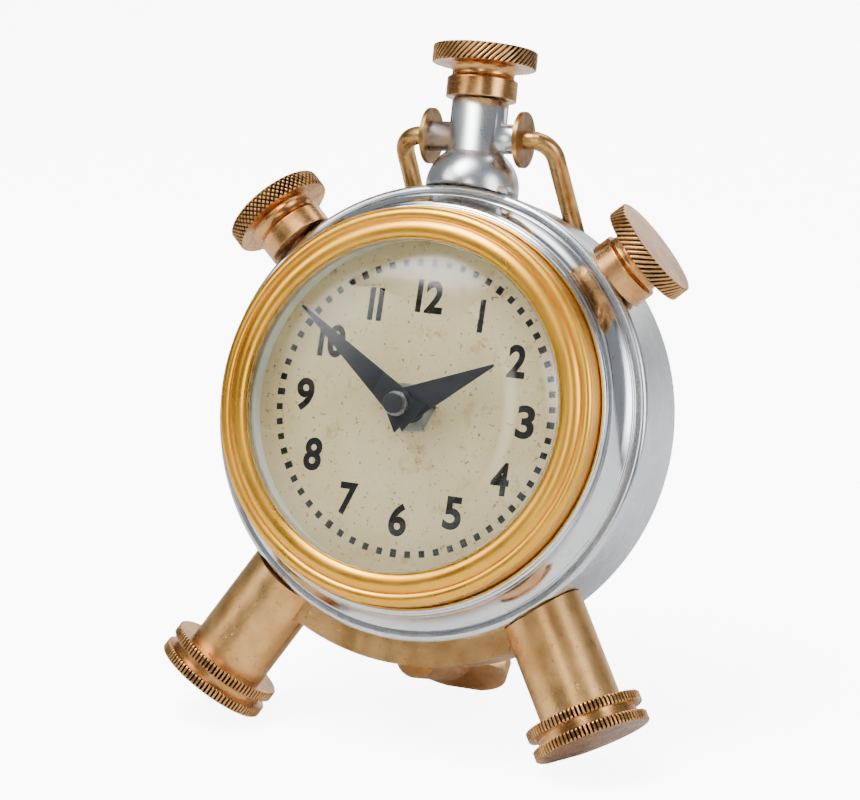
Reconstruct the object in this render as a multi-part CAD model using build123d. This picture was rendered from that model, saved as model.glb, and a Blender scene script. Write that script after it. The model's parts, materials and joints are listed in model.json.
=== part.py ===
from build123d import *
import math
import os

# A desk clock on three feet. It is drawn upright and leaned back at the end.
# Drawing frame: the dial's centre is the origin, +X right, +Y back, +Z up.
# Sizes are in millimetres, angles in degrees. A depth is a place along Y.

LEAN = 20.0                 # how far the standing clock leans back

# Clearances
FIT = 0.05                  # radial gap of a shaft in its hole, or of a push fit
SEAT = 0.02                 # gap between two curved faces that bear on each other
CLEAR = 0.4                 # gap between a turning piece and a fixed one

# Drum: an open aluminium cylinder with a ledge for the back cover
CASE_R = 59.0
CASE_WALL = 2.1
CASE_FRONT = 9.2
CASE_BACK = 33.4
CASE_SHOULDER = 1.3
LEDGE_WIDTH = 5.6
LEDGE_THICK = 2.4
COVER_RECESS = 0.8
COVER_THICK = 1.6

# Front ring: the cove between the bezel and the drum
RING_LIP_WIDTH = 1.3
RING_LIP_FRONT = -1.9
RING_BEAD_R = 56.6
RING_SKIRT_WALL = 2.3
RING_SKIRT_BACK = 19.6
DIAL_SHELF_IN = 42.0
DIAL_SHELF_THICK = 2.2

# Bezel and glass
BEZEL_R = 50.8
BEZEL_LIP_IN = 43.1
BEZEL_LIP_FRONT = -8.8
BEZEL_LIP_BACK = -7.6
BEZEL_GROOVE_R = 46.2
BEZEL_GROOVE_FRONT = -5.6
BEZEL_EDGE_FRONT = -8.4
GLASS_R = 44.4
GLASS_THICK = 1.5
GLASS_CROWN = -18.9
GLASS_KNUCKLE_R = 36.0       # radius where the shallow crown turns down to the rim
GLASS_KNUCKLE_DROP = 3.0
GLASS_SKIRT = 2.0

# Dial
PAPER_THICK = 0.2
PLATE_THICK = 1.0
SPACER_WALL = 1.5

# Hands
HOUR_HAND_DEPTH = -6.9
MINUTE_HAND_DEPTH = -9.3
HAND_THICK = 0.4
MINUTE_REACH = 37.8
HOUR_REACH = 25.9
MINUTE_ANGLE = 305.6        # clockwise from twelve
HOUR_ANGLE = 60.1
HAND_NUT_FRONT = -13.2
HAND_NUT_TALL = 1.4
CAP_R = 2.6
CAP_HEIGHT = 2.0

# Fixing of the movement
BUSH_R = 4.0
NUT_FLATS = 12.3
NUT_THICK = 2.0
NUT_TURN = -6.0
WASHER_R = 5.9
WASHER_THICK = 0.4
PAD_R = 9.0
PAD_THICK = 0.8

# Movement box
MOVEMENT_SIDE = 56.0
MOVEMENT_DEPTH = 16.4
MOVEMENT_WALL = 1.4
MOVEMENT_ROUND = 3.0
BATTERY_R = 7.2
BATTERY_LENGTH = 49.0
BATTERY_UP = -18.7

# Gears: minute pinion, motion wheel, hour wheel, set pinion, centre and third wheels
MODULE = 0.5
MINUTE_TEETH = 12
MOTION_TEETH = 36
MOTION_PINION_TEETH = 10
HOUR_TEETH = 40
CENTRE_TEETH = 64
THIRD_PINION_TEETH = 8
THIRD_MODULE = 0.3
THIRD_WHEEL_R = 6.0
BACKLASH = 0.14
ARBOR_R = 1.6
HOUR_PIPE_R = 2.5
MOTION_ANGLE = -30.0        # place of the motion wheel round the centre, from twelve
THIRD_ANGLE = 60.0
MOTION_POST_R = 1.0
THIRD_SPINDLE_R = 0.6
SET_STEM_R = 1.5
SET_PIVOT_R = 0.8
SET_KNOB_R = 7.5
SET_KNOB_THICK = 5.0

# Stepping motor and its first wheel
SECOND_WHEEL_R = 6.2
ROTOR_PINION_R = 1.4
SECOND_PINION_R = 0.9
COIL_X = 20.4
COIL_UP = 8.0
COIL_R = 3.4
COIL_TALL = 18.0
COIL_CORE_R = 1.4
ROTOR_X = 13.4
ROTOR_R = 1.6
ROTOR_SPINDLE_R = 0.5

# Knurled knobs: one on the neck, one each side
KNOB_DEPTH = 13.8
KNOB_ANGLE = 47.5
KNOB_COLLAR_R = 9.2
KNOB_COLLAR_TALL = 5.3
KNOB_WAIST_R = 8.1
KNOB_WAIST_TALL = 3.4
KNOB_DISC_R = 13.6
KNOB_DISC_TALL = 4.6
KNOB_GAP = 0.3
STUD_R = 3.0
STUD_GRIP = 9.0
STUD_NUT_FLATS = 9.0
STUD_NUT_THICK = 3.0

# Neck under the top knob, with its cross boss. Heights are above the drum's top.
# It was fitted by hand: its foot is a little to the right, and it leans a little left.
NECK_FOOT_X = 1.5
NECK_LEAN = -2.8
NECK_DOME_R = 12.1
NECK_DOME_LOW = 0.4
NECK_DOME_TOP = 8.9
NECK_R = 7.4
NECK_TOP = 22.6
BOSS_UP = 13.0
BOSS_R = 3.9
BOSS_HALF = 12.2
BAIL_WASHER_R = 7.3
BAIL_WASHER_THICK = 1.2

# Bail rods from the cross boss down to the back of the drum
BAIL_R = 2.4
BAIL_PLUG = 6.0
BAIL_ELBOW_X = 20.8
BAIL_ELBOW_DEPTH = 15.4
BAIL_FOOT_X = 22.2
BAIL_FOOT_SHIFT = 2.2       # both feet land this much to the right, as the neck's foot does
BAIL_FOOT_DEPTH = 30.4
BAIL_BEND = 6.5

# Legs
LEG_R = 10.8
LEG_SPLAY = 31.0
LEG_END = (49.7, 18.8, -70.2)
LEG_GAP = 0.3
FOOT_RIM_R = 15.4
FOOT_RIM_THICK = 2.8
FOOT_GROOVE_R = 13.3
FOOT_GROOVE_WIDE = 2.4
FOOT_STUD_R = 4.0
FOOT_STUD_GRIP = 8.0
FOOT_STUD_REACH = 5.0

# Crossbar between the legs
BAR_THICK = 6.2
BAR_FRONT = 14.0
BAR_BACK = 26.0
BAR_FILLET = 7.0
BAR_SCREW_ANGLE = 11.0
BAR_SCREW_DEPTH = 22.8
SCREW_R = 1.5

# Rear arm and its spade foot
ARM_R = 5.8
ARM_UP = -62.6
ARM_END = 2.0               # how far past the blade's centre the arm reaches
SPADE_R = 16.1
SPADE_THICK = 4.6
SPADE_DEPTH = 48.9
SPADE_PITCH = 24.8          # how far the blade drops as it runs back
SPADE_SHOULDER = 27.0
SPADE_CORNER = 1.0
GROUND_FLAT = 0.5           # depth of the worn flat on each foot


# ---------------------------------------------------------------- shape helpers

def outline(start, *steps):
    """Closed face on the XY plane: a step is (x, y), or (x, y, bulge) for an arc to its left."""
    edges = []
    here = start
    for step in steps + (start,):
        there = step[:2]
        if len(step) == 3:
            along = Vector(there[0] - here[0], there[1] - here[1])
            middle = Vector(*here) + along / 2 + Vector(-along.Y, along.X).normalized() * step[2]
            edges.append(ThreePointArc(here, (middle.X, middle.Y), there))
        elif math.dist(here, there) > 1e-6:
            edges.append(Line(here, there))
        here = there
    return make_face(edges)


def turned(start, *steps):
    """Solid turned about the Y axis from an outline of (radius, depth) points."""
    return revolve(outline(start, *steps), Axis.Y)


def disc(radius, low, high, bore=0.0):
    """Round plate or rod on the Y axis, from depth low to depth high."""
    return turned((bore, low), (radius, low), (radius, high), (bore, high))


def plate(sketch, low, high):
    """A flat sketch, seen from the front, made solid from depth low to depth high."""
    solid = extrude(sketch, high - low)
    return Pos(0, high, 0) * Rot(90, 0, 0) * solid


def along_radius(piece, angle, depth):
    """Turn a piece from the Y axis onto a radius of the drum, clockwise from twelve."""
    return Pos(0, depth, 0) * Rot(0, angle, 0) * Rot(90, 0, 0) * piece


def hexagon(flats, low, high, bore):
    """Hexagon nut on the Y axis."""
    blank = plate(RegularPolygon(flats / 2, 6, major_radius=False), low, high)
    return blank - disc(bore, low - 1, high + 1)


def on_dial(radius, angle):
    """Place on the dial plane, clockwise from twelve."""
    turn = math.radians(angle)
    return Pos(radius * math.sin(turn), 0, radius * math.cos(turn))


def involute(angle):
    """How far an involute has turned at a pressure angle in radians."""
    return math.tan(angle) - angle


def gear(teeth, module, low, high):
    """Spur gear on the Y axis with twenty degree teeth and some backlash."""
    pitch_r = teeth * module / 2
    base_r = pitch_r * math.cos(math.radians(20))
    root_r = pitch_r - 1.2 * module
    tip_r = pitch_r + 0.8 * module
    half = math.pi / 2 / teeth - BACKLASH / 2 / pitch_r + involute(math.radians(20))
    flank = []
    for share in (0.0, 0.5, 1.0):
        radius = max(base_r, root_r) + share * (tip_r - max(base_r, root_r))
        flank.append((radius, half - involute(math.acos(base_r / radius))))
    tooth = [(root_r, -flank[0][1])]
    tooth += [(radius, -turn) for radius, turn in flank]
    tooth += [(radius, turn) for radius, turn in reversed(flank)]
    tooth += [(root_r, flank[0][1])]
    points = []
    for index in range(teeth):
        centre = 2 * math.pi * index / teeth
        for radius, turn in tooth:
            points.append((radius * math.sin(centre + turn), radius * math.cos(centre + turn)))
    distinct = [p for p, q in zip(points, points[1:] + points[:1]) if math.dist(p, q) > 1e-4]
    return plate(make_face(Polyline(*distinct, close=True)), low, high)


def mesh_turn(direction, teeth, turn, other_teeth):
    """Turn of a gear that lies in a direction from a turned gear and meshes with it."""
    share = (direction - turn) * teeth / 360
    return direction + 180 - (0.5 - share) * 360 / other_teeth


# ---------------------------------------------------------------- places worked out once

CASE_BORE = CASE_R - CASE_WALL
COVER_BACK = CASE_BACK - COVER_RECESS
COVER_SEAT = COVER_BACK - COVER_THICK
SCREW_CIRCLE = CASE_BORE - LEDGE_WIDTH / 2
SHELF_FRONT = PAPER_THICK + PLATE_THICK
BEZEL_BORE = GLASS_R + 2 * FIT
SKIRT_R = CASE_BORE - FIT
SKIRT_BORE = SKIRT_R - RING_SKIRT_WALL
MOVEMENT_FRONT = SHELF_FRONT + PAD_THICK
MOVEMENT_BACK = MOVEMENT_FRONT + MOVEMENT_DEPTH
MOTION_DISTANCE = MODULE * (MINUTE_TEETH + MOTION_TEETH) / 2
HOUR_MODULE = 2 * MOTION_DISTANCE / (MOTION_PINION_TEETH + HOUR_TEETH)
THIRD_DISTANCE = THIRD_MODULE * (CENTRE_TEETH + THIRD_PINION_TEETH) / 2
MOTION_PLACE = on_dial(MOTION_DISTANCE, MOTION_ANGLE)
THIRD_PLACE = on_dial(THIRD_DISTANCE, THIRD_ANGLE)
SET_PLACE = MOTION_PLACE * on_dial(MOTION_DISTANCE, -MOTION_ANGLE)
GEAR_LOW = MOVEMENT_FRONT + MOVEMENT_WALL
COVER_LOW = MOVEMENT_BACK - MOVEMENT_WALL
HOUR_WHEEL_LOW = GEAR_LOW + 0.5
MOTION_WHEEL_LOW = HOUR_WHEEL_LOW + 2.0
CENTRE_WHEEL_LOW = MOTION_WHEEL_LOW + 2.1
ROTOR_UP = COIL_UP + COIL_TALL / 2 + 2.6
THIRD_LOW = CENTRE_WHEEL_LOW + 2.0
SECOND_LOW = THIRD_LOW + 2.6
SECOND_SHARE = (THIRD_WHEEL_R + SECOND_PINION_R + 0.1) / math.hypot(
    ROTOR_X - THIRD_PLACE.position.X, ROTOR_UP - THIRD_PLACE.position.Z)
SECOND_X = THIRD_PLACE.position.X + SECOND_SHARE * (ROTOR_X - THIRD_PLACE.position.X)
SECOND_UP = THIRD_PLACE.position.Z + SECOND_SHARE * (ROTOR_UP - THIRD_PLACE.position.Z)
BATTERY_AXIS = GEAR_LOW + BATTERY_R + 0.1
COIL_DEPTH = GEAR_LOW + COIL_R + 0.4
SET_KNOB_LOW = CASE_BACK + CLEAR
MOTION_TURN = mesh_turn(MOTION_ANGLE, MINUTE_TEETH, 0, MOTION_TEETH)
SET_TURN = mesh_turn(-MOTION_ANGLE, MOTION_TEETH, MOTION_TURN, MINUTE_TEETH)
HOUR_TURN = mesh_turn(MOTION_ANGLE + 180, MOTION_PINION_TEETH, 0, HOUR_TEETH)
THIRD_TURN = mesh_turn(THIRD_ANGLE, CENTRE_TEETH, 0, THIRD_PINION_TEETH)
KNOB_BASE = CASE_R + KNOB_GAP
NUT_LOW = math.sqrt(SKIRT_BORE ** 2 - (STUD_NUT_FLATS / math.sqrt(3)) ** 2) - STUD_NUT_THICK - FIT
NECK_SEAT_DROP = 0.35       # the tilted nut under the neck sits this much lower
KNOB_TALL = KNOB_COLLAR_TALL + KNOB_WAIST_TALL + KNOB_DISC_TALL
TOP_KNOB_BASE = NECK_TOP + KNOB_GAP
FOOT_TALL = 2 * FOOT_RIM_THICK + FOOT_GROOVE_WIDE
BAR_R = CASE_R + BAR_THICK
KNOB_SIDES = {"left": -KNOB_ANGLE, "right": KNOB_ANGLE}
SIDES = {"left": -1, "right": 1}


# ---------------------------------------------------------------- case

def case_drum():
    drum = turned(
        (CASE_BORE, CASE_FRONT),
        (CASE_R - CASE_SHOULDER, CASE_FRONT),
        (CASE_R, CASE_FRONT + CASE_SHOULDER, -0.29 * CASE_SHOULDER),
        (CASE_R, CASE_BACK - 0.6),
        (CASE_R - 0.6, CASE_BACK),
        (CASE_BORE, CASE_BACK),
        (CASE_BORE, COVER_SEAT),
        (CASE_BORE - LEDGE_WIDTH, COVER_SEAT),
        (CASE_BORE - LEDGE_WIDTH, COVER_SEAT - LEDGE_THICK),
        (CASE_BORE, COVER_SEAT - LEDGE_THICK - LEDGE_WIDTH / 2),
    )
    for angle in cover_screw_angles():
        drum -= on_dial(SCREW_CIRCLE, angle) * disc(SCREW_R + FIT, COVER_SEAT - LEDGE_THICK, COVER_BACK)
    return drum - stud_holes() - bar_screws(SCREW_R + FIT)


def front_ring():
    lip_in = BEZEL_R + 2 * FIT
    lip_out = lip_in + RING_LIP_WIDTH
    ring = turned(
        (DIAL_SHELF_IN, SHELF_FRONT),
        (lip_in, SHELF_FRONT),
        (lip_in, RING_LIP_FRONT + 0.3),
        (lip_out, RING_LIP_FRONT + 0.3, -0.45),
        (lip_out + 0.1, RING_LIP_FRONT + 1.3),
        (lip_out + 0.5, RING_LIP_FRONT + 1.5),
        (RING_BEAD_R - 0.8, CASE_FRONT - 2.0, 0.9),
        (RING_BEAD_R - 1.0, CASE_FRONT - 1.6),
        (RING_BEAD_R - 0.7, CASE_FRONT - 0.4, -0.55),
        (SKIRT_R, CASE_FRONT - 0.4),
        (SKIRT_R, RING_SKIRT_BACK),
        (SKIRT_BORE, RING_SKIRT_BACK),
        (SKIRT_BORE, CASE_FRONT - 1.0),
        (lip_in - 1.0, SHELF_FRONT + DIAL_SHELF_THICK),
        (DIAL_SHELF_IN, SHELF_FRONT + DIAL_SHELF_THICK),
    )
    return ring - stud_holes()


def bezel():
    return turned(
        (BEZEL_BORE, SHELF_FRONT),
        (BEZEL_BORE, BEZEL_LIP_BACK),
        (BEZEL_LIP_IN, BEZEL_LIP_BACK),
        (BEZEL_LIP_IN, BEZEL_LIP_FRONT),
        (BEZEL_GROOVE_R, BEZEL_GROOVE_FRONT, -0.9),
        (BEZEL_R - 0.5, BEZEL_EDGE_FRONT, -0.5),
        (BEZEL_R, BEZEL_EDGE_FRONT + 0.5, -0.15),
        (BEZEL_R, SHELF_FRONT),
    )


def crown_bulge(radius, drop):
    """Bulge of an arc from a dome's crown to its edge that crosses the axis squarely."""
    sphere_r = (radius ** 2 + drop ** 2) / (2 * drop)
    return sphere_r * (1 - math.cos(math.asin(radius / sphere_r) / 2))


def glass_dome():
    """Domed crystal: a shallow crown, a tight knuckle, a short skirt and a flat rim."""
    rim_back = BEZEL_LIP_BACK + GLASS_THICK
    skirt_r = BEZEL_LIP_IN - 0.1
    knuckle = GLASS_CROWN + GLASS_KNUCKLE_DROP
    inner_r = skirt_r - GLASS_THICK
    inner_knuckle_r = GLASS_KNUCKLE_R - 0.7
    return turned(
        (0, GLASS_CROWN),
        (GLASS_KNUCKLE_R, knuckle, -crown_bulge(GLASS_KNUCKLE_R, GLASS_KNUCKLE_DROP)),
        (skirt_r, BEZEL_LIP_BACK - GLASS_SKIRT, -1.6),
        (skirt_r, BEZEL_LIP_BACK),
        (GLASS_R, BEZEL_LIP_BACK),
        (GLASS_R, rim_back),
        (inner_r, rim_back),
        (inner_r, BEZEL_LIP_BACK - GLASS_SKIRT),
        (inner_knuckle_r, knuckle + GLASS_THICK, 1.3),
        (0, GLASS_CROWN + GLASS_THICK, crown_bulge(inner_knuckle_r, GLASS_KNUCKLE_DROP)),
    )


def dial_spacer():
    return disc(GLASS_R, 0, BEZEL_LIP_BACK + GLASS_THICK, GLASS_R - SPACER_WALL)


def paper_dial():
    return disc(GLASS_R, 0, PAPER_THICK, BUSH_R + 0.2)


def dial_plate():
    return disc(GLASS_R, PAPER_THICK, SHELF_FRONT, BUSH_R + 0.2)


def cover_screw_angles():
    return [45, 135, 225, 315]


def back_cover():
    raised = CASE_BORE - LEDGE_WIDTH - 3
    cover = turned(
        (0, COVER_SEAT),
        (CASE_BORE - 0.1, COVER_SEAT),
        (CASE_BORE - 0.1, COVER_BACK - 0.3),
        (CASE_BORE - 0.4, COVER_BACK),
        (raised, COVER_BACK),
        (raised - 1.5, COVER_BACK + COVER_RECESS, 0.2),
        (0, COVER_BACK + COVER_RECESS),
    )
    for angle in cover_screw_angles():
        cover -= on_dial(SCREW_CIRCLE, angle) * disc(SCREW_R + 0.1, COVER_SEAT - 1, COVER_BACK + 1)
    return cover - SET_PLACE * disc(SET_STEM_R + CLEAR, COVER_SEAT - 1, COVER_BACK + 2)


def slotted_screw(head_r, head_tall, shank_long):
    """Round-headed screw on the Y axis; its head sits behind depth 0."""
    screw = turned(
        (0, -shank_long),
        (SCREW_R, -shank_long),
        (SCREW_R, 0),
        (head_r, 0),
        (head_r, 0.4 * head_tall),
        (0, head_tall, 0.12 * head_r),
    )
    return screw - Pos(0, head_tall, 0) * Box(2.2 * head_r, 0.9 * head_tall, 0.6)


def back_screws():
    screw = slotted_screw(2.7, 1.4, COVER_THICK + LEDGE_THICK - 0.2)
    return [on_dial(SCREW_CIRCLE, angle) * Pos(0, COVER_BACK, 0) * screw for angle in cover_screw_angles()]


# ---------------------------------------------------------------- knobs, neck and bail rods

def neck_place():
    """Put the Y axis on the neck's own axis, with depth 0 level with the drum's top."""
    return Pos(NECK_FOOT_X, KNOB_DEPTH, CASE_R) * Rot(0, NECK_LEAN, 0) * Rot(90, 0, 0)


def stud_holes():
    hole = disc(STUD_R + FIT, CASE_R / 2, CASE_R + 1)
    holes = [along_radius(hole, angle, KNOB_DEPTH) for angle in KNOB_SIDES.values()]
    return holes + [neck_place() * disc(STUD_R + FIT, -CASE_R / 2, 1)]


def knob():
    """Turned brass knob standing on depth 0 of the Y axis, with a blind hole for its stud."""
    disc_low = KNOB_COLLAR_TALL + KNOB_WAIST_TALL
    edge = 0.25
    return turned(
        (STUD_R + FIT, 0),
        (KNOB_COLLAR_R - edge, 0),
        (KNOB_COLLAR_R, edge),
        (KNOB_COLLAR_R, KNOB_COLLAR_TALL - 1.2),
        (KNOB_WAIST_R, KNOB_COLLAR_TALL + 0.8, 0.3),
        (KNOB_WAIST_R + 1.5, disc_low, 0.5),
        (KNOB_DISC_R - edge, disc_low),
        (KNOB_DISC_R, disc_low + edge),
        (KNOB_DISC_R, KNOB_TALL - edge),
        (KNOB_DISC_R - edge, KNOB_TALL),
        (0, KNOB_TALL),
        (0, STUD_GRIP + CLEAR),
        (STUD_R + FIT, STUD_GRIP + CLEAR),
    )


def knob_stud(low, base):
    """Threaded stud from a nut inside the drum up into a knob that stands at base."""
    low = low - 1.2
    return turned((0, low), (STUD_R - 0.4, low), (STUD_R, low + 0.4), (STUD_R, base + STUD_GRIP),
                  (0, base + STUD_GRIP))


def stud_nuts():
    nut = hexagon(STUD_NUT_FLATS, 0, STUD_NUT_THICK, STUD_R + FIT)
    seated = Pos(0, NUT_LOW, 0) * nut
    nuts = [along_radius(seated, angle, KNOB_DEPTH) for angle in KNOB_SIDES.values()]
    return nuts + [neck_place() * Pos(0, NUT_LOW - CASE_R - NECK_SEAT_DROP, 0) * nut]


def neck():
    column = turned(
        (STUD_R + FIT, -3),
        (NECK_DOME_R, -3),
        (NECK_DOME_R, NECK_DOME_LOW),
        (NECK_R, NECK_DOME_TOP, -1.1),
        (NECK_R, NECK_TOP - 0.4),
        (NECK_R - 0.4, NECK_TOP),
        (STUD_R + FIT, NECK_TOP),
    )
    boss = Pos(0, BOSS_UP, 0) * Rot(0, 90, 0) * Cylinder(BOSS_R, 2 * BOSS_HALF)
    bore = disc(STUD_R + FIT, -4, NECK_TOP + 1)
    sockets = [Pos(side * BOSS_HALF, BOSS_UP, 0) * Rot(0, 90, 0) * Cylinder(BAIL_R + FIT, 2 * BAIL_PLUG)
               for side in SIDES.values()]
    upright = neck_place() * (column + boss - bore - sockets)
    return upright - disc(CASE_R + SEAT, CASE_FRONT - 9, CASE_BACK + 9)


def bail_washer(side):
    ring = Cylinder(BAIL_WASHER_R, BAIL_WASHER_THICK) - Cylinder(BAIL_R + FIT, 2 * BAIL_WASHER_THICK)
    place = Pos(side * (BOSS_HALF + BAIL_WASHER_THICK / 2), BOSS_UP, 0) * Rot(0, 90, 0)
    return neck_place() * place * ring


def bail_rod(side):
    """Bent rod from the cross boss to the top of the drum; its foot is cut to the drum."""
    start = Vector((neck_place() * Pos(side * (BOSS_HALF - BAIL_PLUG + 0.2), BOSS_UP, 0)).position)
    level = Vector((neck_place() * Pos(side * (BOSS_HALF + BAIL_WASHER_THICK + 0.8), BOSS_UP, 0)).position)
    outward = (level - start).normalized()
    elbow_up = (level + outward * (BAIL_ELBOW_X - abs(level.X))).Z
    elbow = Vector(side * BAIL_ELBOW_X, BAIL_ELBOW_DEPTH, elbow_up)
    foot_x = side * BAIL_FOOT_X + BAIL_FOOT_SHIFT
    foot = Vector(foot_x, BAIL_FOOT_DEPTH, math.sqrt(CASE_R ** 2 - foot_x ** 2))
    tail = foot + (foot - elbow).normalized() * 3
    path = FilletPolyline(start, level, elbow, tail, radius=[3 * BAIL_BEND, BAIL_BEND])
    rod = sweep(Plane(origin=start, z_dir=outward) * Circle(BAIL_R), path)
    return rod - disc(CASE_R + SEAT, CASE_FRONT - 9, CASE_BACK + 9)


# ---------------------------------------------------------------- legs

def leg_place(side):
    """Put the Y axis on a leg's own axis, with depth 0 where its foot begins."""
    x, depth, up = LEG_END
    return Pos(side * x, depth, up) * Rot(0, side * (180 - LEG_SPLAY), 0) * Rot(90, 0, 0)


def leg(side):
    post = disc(LEG_R, -math.hypot(LEG_END[0], LEG_END[2]) + CASE_R / 2, 0)
    post -= disc(FOOT_STUD_R + FIT, -FOOT_STUD_GRIP - 0.5, 1)
    post = leg_place(side) * post
    return post - disc(CASE_R + LEG_GAP, CASE_FRONT - 9, CASE_BACK + 9)


def foot_blank(side):
    cap = turned(
        (0, 0),
        (FOOT_RIM_R - 0.3, 0),
        (FOOT_RIM_R, 0.3),
        (FOOT_RIM_R, FOOT_RIM_THICK - 0.3),
        (FOOT_RIM_R - 0.3, FOOT_RIM_THICK),
        (FOOT_GROOVE_R, FOOT_RIM_THICK),
        (FOOT_GROOVE_R, FOOT_RIM_THICK + FOOT_GROOVE_WIDE),
        (FOOT_RIM_R - 0.3, FOOT_RIM_THICK + FOOT_GROOVE_WIDE),
        (FOOT_RIM_R, FOOT_RIM_THICK + FOOT_GROOVE_WIDE + 0.3),
        (FOOT_RIM_R, FOOT_TALL - 0.3),
        (FOOT_RIM_R - 0.3, FOOT_TALL),
        (0, FOOT_TALL),
    )
    cap -= disc(FOOT_STUD_R + FIT, -1, FOOT_STUD_REACH + 0.5)
    return leg_place(side) * cap


def foot_stud(side):
    return leg_place(side) * disc(FOOT_STUD_R, -FOOT_STUD_GRIP, FOOT_STUD_REACH)


def ground_level():
    """Height, along the leaned clock's own upright, of the ground under the front feet."""
    splay = math.radians(LEG_SPLAY)
    lean = math.radians(LEAN)
    centre_up = LEG_END[2] - FOOT_TALL * math.cos(splay)
    axis_drop = math.cos(splay) * math.cos(lean)
    rim_drop = (FOOT_RIM_R - 0.3) * math.sqrt(1 - axis_drop ** 2)
    return centre_up * math.cos(lean) - LEG_END[1] * math.sin(lean) - rim_drop + GROUND_FLAT


def below_ground():
    """Everything under the ground, in the upright drawing frame."""
    deep = 60
    slab = Pos(0, 0, ground_level() - deep / 2) * Box(400, 400, deep)
    return Rot(LEAN, 0, 0) * slab


def front_foot(side):
    return foot_blank(side) - below_ground()


def crossbar():
    """Arched bar under the drum that flares into both legs."""
    reach = math.degrees(math.atan2(LEG_END[0], -LEG_END[2]))
    deepest = max(BAR_BACK - LEG_END[1], LEG_END[1] - BAR_FRONT)
    half = 0.85 * math.sqrt(LEG_R ** 2 - deepest ** 2)
    long = 3 * LEG_R
    strips = []
    for side in SIDES.values():
        strips.append(Pos(side * LEG_END[0], LEG_END[2]) * Rot(0, 0, side * LEG_SPLAY)
                      * Pos(0, long / 2 - 6) * Rectangle(2 * half, long))
    ring = Circle(BAR_R) - Circle(CASE_R + SEAT)
    wedge = make_face(Polyline((0, 0), (-200 * math.sin(math.radians(reach)), -200 * math.cos(math.radians(reach))),
                               (200 * math.sin(math.radians(reach)), -200 * math.cos(math.radians(reach))),
                               close=True))
    band = ring & wedge
    joined = Sketch() + [band, *strips]
    inner = [v for v in joined.vertices() if abs(math.hypot(v.X, v.Y) - BAR_R) < 0.01
             and abs(v.X) < LEG_END[0] - LEG_R / 2]
    flared = fillet(inner, BAR_FILLET)
    web = flared - strips
    profile = band + [face for face in web.faces() if abs(face.center().X) < LEG_END[0] - LEG_R / 2]
    bar = Rot(90, 0, 0) * extrude(profile, BAR_BACK - BAR_FRONT)
    bar = Pos(0, BAR_BACK, 0) * bar
    legs = [leg_place(side) * disc(LEG_R + SEAT, -60, 20) for side in SIDES.values()]
    bar = bar - legs - disc(CASE_R + SEAT, CASE_FRONT - 9, CASE_BACK + 9)
    middle = max(bar.solids(), key=lambda solid: solid.volume)
    return middle - bar_screws(SCREW_R + FIT)


def bar_screws(radius):
    """Two screws, or their holes, from inside the drum into the crossbar."""
    shank = disc(radius, CASE_BORE - 1, CASE_R + 3.6)
    return [along_radius(shank, 180 + turn, BAR_SCREW_DEPTH) for turn in (-BAR_SCREW_ANGLE, BAR_SCREW_ANGLE)]


def crossbar_screws():
    under_head = math.sqrt(CASE_BORE ** 2 - 2.7 ** 2)
    screw = Pos(0, under_head, 0) * Rot(180, 0, 0) * slotted_screw(2.7, 1.6, CASE_R + 3.2 - under_head)
    return [along_radius(screw, 180 + turn, BAR_SCREW_DEPTH) for turn in (-BAR_SCREW_ANGLE, BAR_SCREW_ANGLE)]


def spade_centre_up():
    """Height of the blade's centre at which its lower edge just reaches the ground."""
    lean = math.radians(LEAN)
    pitch = math.radians(SPADE_PITCH)
    edge_drop = SPADE_R * math.sin(lean + pitch)
    low = ground_level() - GROUND_FLAT
    return (low + edge_drop + SPADE_DEPTH * math.sin(lean)) / math.cos(lean)


def spade_plane():
    """Lower face of the blade: x across, y down its slope, z into the blade."""
    pitch = math.radians(SPADE_PITCH)
    up_normal = (0, math.sin(pitch), math.cos(pitch))
    return Plane(origin=(0, SPADE_DEPTH, spade_centre_up()), x_dir=(1, 0, 0), z_dir=up_normal)


def rear_foot():
    shoulder = (SPADE_R - ARM_R) * math.tan(math.radians(SPADE_SHOULDER))
    corner_x = math.sqrt(SPADE_R ** 2 - SPADE_CORNER ** 2)
    face = make_face([
        ThreePointArc((corner_x, -SPADE_CORNER), (0, SPADE_R), (-corner_x, -SPADE_CORNER)),
        Polyline((-corner_x, -SPADE_CORNER), (-ARM_R, -SPADE_CORNER - shoulder),
                 (ARM_R, -SPADE_CORNER - shoulder), (corner_x, -SPADE_CORNER)),
    ])
    return spade_plane() * extrude(face, SPADE_THICK) - below_ground()


def rear_arm():
    """Round bar from the back of the crossbar to the lower face of the spade foot."""
    arm = Pos(0, 0, ARM_UP) * disc(ARM_R, BAR_BACK, SPADE_DEPTH + SPADE_R)
    blade_side = spade_plane() * Pos(0, 0, 50) * Box(200, 200, 100)
    past_end = spade_plane() * Pos(0, 50 + ARM_END, 0) * Box(200, 100, 200)
    return arm - blade_side - past_end - disc(CASE_R + SEAT, CASE_FRONT - 9, CASE_BACK)


# ---------------------------------------------------------------- movement

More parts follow.
